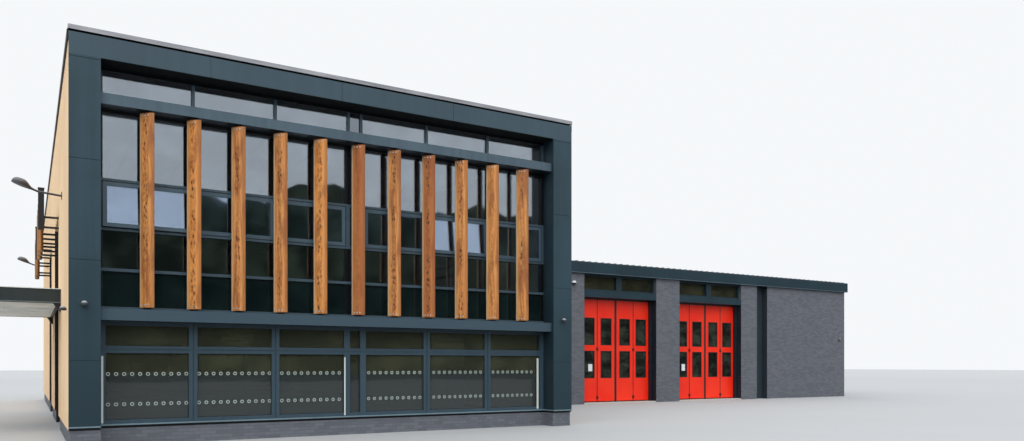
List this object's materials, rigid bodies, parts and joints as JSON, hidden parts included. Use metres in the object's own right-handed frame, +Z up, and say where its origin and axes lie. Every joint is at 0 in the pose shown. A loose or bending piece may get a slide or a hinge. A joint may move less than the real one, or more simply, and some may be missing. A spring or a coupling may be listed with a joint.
{
  "type": "fire station building",
  "caption": "Two-storey glass-fronted office block with turned timber fins, joined to a low brick hall with red folding appliance doors.",
  "frame": {"origin": "ground level, under the middle of the whole building's outline", "axes": "+X along the street front from the office block to the hall, +Y into the building, +Z up"},
  "size_m": [38.235, 26.1438, 8.15],
  "materials": {
    "metal_cladding": "satin polyester powder coat",
    "dark_soffit": "dark matt",
    "coping_metal": "mill grey",
    "flashing_metal": "satin",
    "oiled_timber": "oiled laminated softwood",
    "galvanised_steel": "galvanised",
    "dark_steel": "satin",
    "window_frame": "powder coated",
    "clear_glass": "tinted double glazing",
    "dark_glass": "back-painted glass",
    "door_glass": "safety glass",
    "cream_render": "fine through-coloured render",
    "grey_brick": "dark grey facing brick",
    "concrete_floor": "floated concrete",
    "roof_membrane": "single-ply roof sheet",
    "roof_sheet": "profiled steel sheet",
    "red_door": "gloss powder coat",
    "black_fittings": "black",
    "canopy_plastic": "translucent sheet"
  },
  "bodies": {
    "root": {"canopy_corbels": "dark_steel", "canopy_frame": "dark_steel", "canopy_sheet": "canopy_plastic", "central_column": "metal_cladding", "coping": "coping_metal", "cross_beams": "metal_cladding", "door_glass": "door_glass", "door_hinges": "black_fittings", "door_reveals": "metal_cladding", "door_seals": "black_fittings", "downpipe": "metal_cladding", "end_plinths": "grey_brick", "fin_brackets": "galvanised_steel", "first_floor": "concrete_floor", "flashings": "flashing_metal", "front_piers": "metal_cladding", "ground_floor": "concrete_floor", "ground_frame": "window_frame", "ground_glass": "clear_glass", "hall_end_wall": "grey_brick", "hall_fascia": "metal_cladding", "hall_floor": "concrete_floor", "hall_front_wall": "grey_brick", "hall_rear_panels": "grey_brick", "hall_rear_wall": "grey_brick", "hall_roof": "roof_sheet", "high_window_frames": "window_frame", "high_window_glass": "clear_glass", "left_door_leaves": "red_door", "left_wall": "cream_render", "lintels": "metal_cladding", "outside_lights": "dark_steel", "pier_plinths": "grey_brick", "rear_frames": "window_frame", "rear_glass": "clear_glass", "rear_piers": "cream_render", "rear_wall": "cream_render", "recess_panel": "metal_cladding", "right_door_leaves": "red_door", "right_wall": "cream_render", "roof_deck": "roof_membrane", "sash_frames": "window_frame", "sash_glass": "clear_glass", "side_brackets": "dark_steel", "side_fins": "oiled_timber", "side_plinths": "grey_brick", "side_posts": "dark_steel", "slot_frames": "window_frame", "slot_glass": "clear_glass", "slot_heads": "cream_render", "soffit": "dark_soffit", "spandrel_glass": "dark_glass", "thresholds": "concrete_floor", "timber_fins": "oiled_timber", "top_fascia": "metal_cladding", "upper_frame": "window_frame", "upper_glass": "clear_glass"}
  },
  "joints": []
}
